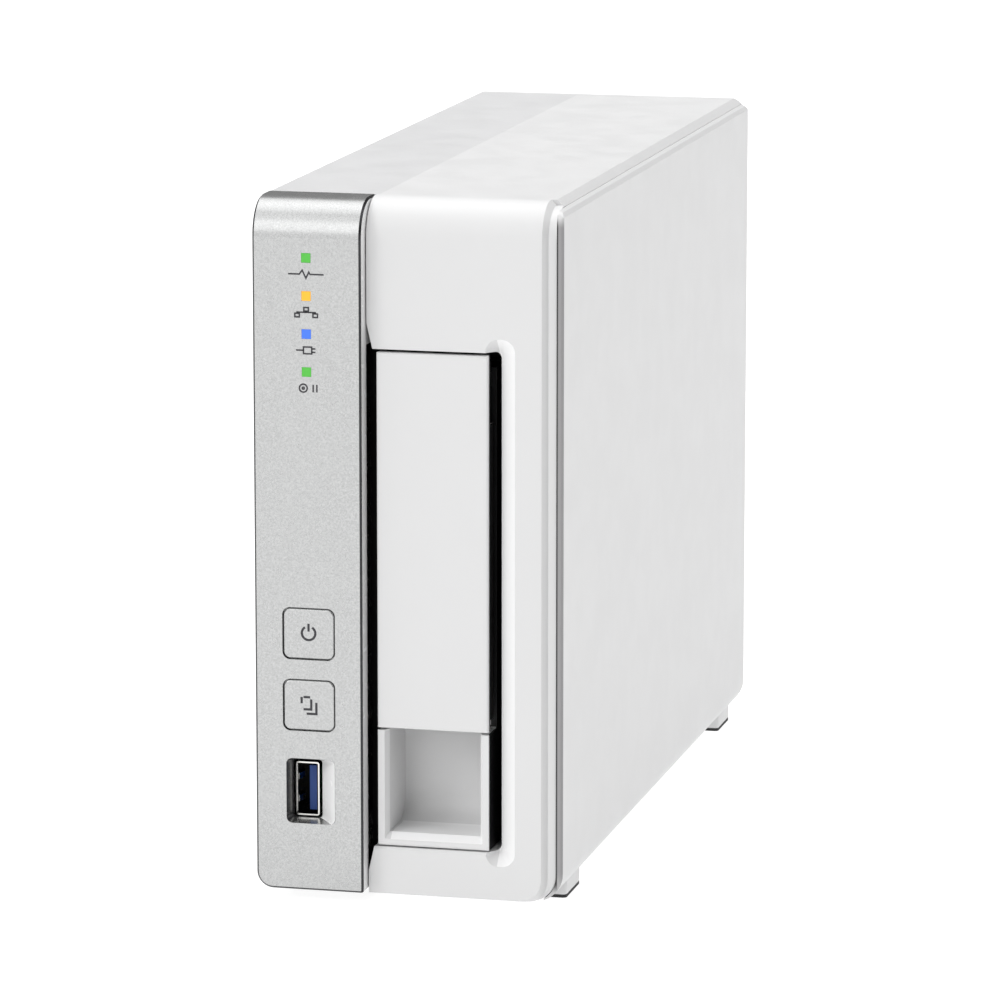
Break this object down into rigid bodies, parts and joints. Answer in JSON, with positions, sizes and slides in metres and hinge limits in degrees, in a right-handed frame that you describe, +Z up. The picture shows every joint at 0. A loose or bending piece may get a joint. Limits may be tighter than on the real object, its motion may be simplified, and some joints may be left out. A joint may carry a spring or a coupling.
{
  "type": "network attached storage",
  "caption": "Upright one-bay network storage unit with a slide-out drive tray, pull lever, front buttons, sockets and a rear fan.",
  "frame": {"origin": "middle of the footprint, on the surface that the unit stands on", "axes": "+Z up, +Y from the front to the rear, +X to the right when facing the front; the front faces -Y"},
  "size_m": [0.0738, 0.225, 0.1685],
  "materials": {
    "white_shell": "satin white moulded plastic",
    "grey_shell": "satin light grey moulded plastic",
    "silver_paint": "fine metallic silver paint on plastic",
    "lamp_green": "lit green light guide",
    "lamp_amber": "lit amber light guide",
    "lamp_blue": "lit blue light guide",
    "black_plastic": "matte black",
    "blue_insulator": "satin blue",
    "plated_metal": "bright plated steel",
    "circuit_board": "green solder mask",
    "chip_package": "moulded black package",
    "bare_aluminium": "extruded",
    "cast_aluminium": "cast",
    "black_steel": "black coated sheet steel",
    "screw_steel": "zinc plated",
    "lid_steel": "brushed",
    "sole_rubber": "matte",
    "fan_plastic": "matte black",
    "ribbon_plastic": "satin"
  },
  "bodies": {
    "housing": {"left_housing": "grey_shell", "main_housing": "white_shell", "side_cover": "white_shell", "rear_panel": "white_shell", "silver_fascia": "silver_paint", "front_bezel": "white_shell", "front_leds": "ribbon_plastic", "front_board": "circuit_board", "tact_switches": "black_plastic", "lan_jack": "black_plastic", "dc_jack": "black_plastic", "dc_pin": "plated_metal", "reset_switch": "black_plastic", "mainboard": "circuit_board", "board_screws": "screw_steel", "cpu": "chip_package", "heatsink": "bare_aluminium", "memory_chips": "chip_package", "support_chips": "chip_package", "capacitors": "bare_aluminium", "inductors": "chip_package", "cell_holder": "black_plastic", "coin_cell": "plated_metal", "buzzer": "black_plastic", "fan_header": "ribbon_plastic", "ribbon_sockets": "ribbon_plastic", "front_ribbon": "ribbon_plastic", "drive_cage": "black_steel", "cage_screws": "screw_steel", "backplane_board": "circuit_board", "sata_connector": "black_plastic", "backplane_link": "black_plastic", "fan_frame": "fan_plastic", "fan_screws": "screw_steel", "foot_bodies": "white_shell", "foot_soles": "sole_rubber", "cover_screws": "screw_steel", "status_light_pipe": "lamp_green", "network_light_pipe": "lamp_amber", "usb_light_pipe": "lamp_blue", "drive_light_pipe": "lamp_green", "front_usb_shell": "plated_metal", "front_usb_tongue": "blue_insulator", "rear_usb_shells": "plated_metal", "rear_usb_tongues": "blue_insulator"},
    "tray": {"tray_frame": "black_plastic", "tray_front": "white_shell", "lever_pin": "screw_steel", "drive_body": "cast_aluminium", "drive_lid": "lid_steel", "drive_board": "circuit_board", "drive_socket": "black_plastic", "drive_screws": "screw_steel"},
    "lever": {"tray_lever": "white_shell"},
    "power_key": {"power_button": "silver_paint", "power_plunger": "ribbon_plastic"},
    "copy_key": {"copy_button": "silver_paint", "copy_plunger": "ribbon_plastic"},
    "fan_wheel": {"fan_rotor": "fan_plastic"},
    "reset_key": {"reset_plunger": "ribbon_plastic"}
  },
  "joints": [
    {"name": "tray_slide", "type": "slide", "parent": "housing", "child": "tray", "axis": [0, -1, 0], "range_m": [0, 0.19]},
    {"name": "lever_hinge", "type": "hinge", "parent": "tray", "child": "lever", "pos_m": [0.0057, -0.106, 0.1258], "axis": [-1, 0, 0], "range_deg": [0, 60]},
    {"name": "power_press", "type": "slide", "parent": "housing", "child": "power_key", "axis": [0, 1, 0], "range_m": [0, 0.0004], "stiffness_N_per_m": 500, "springref_m": -0.0006},
    {"name": "copy_press", "type": "slide", "parent": "housing", "child": "copy_key", "axis": [0, 1, 0], "range_m": [0, 0.0004], "stiffness_N_per_m": 500, "springref_m": -0.0006},
    {"name": "fan_spin", "type": "hinge", "parent": "housing", "child": "fan_wheel", "pos_m": [0.0096, 0.1022, 0.123], "axis": [0, 1, 0], "continuous": true},
    {"name": "reset_press", "type": "slide", "parent": "housing", "child": "reset_key", "axis": [0, -1, 0], "range_m": [0, 0.00025], "stiffness_N_per_m": 500, "springref_m": -0.0006}
  ]
}
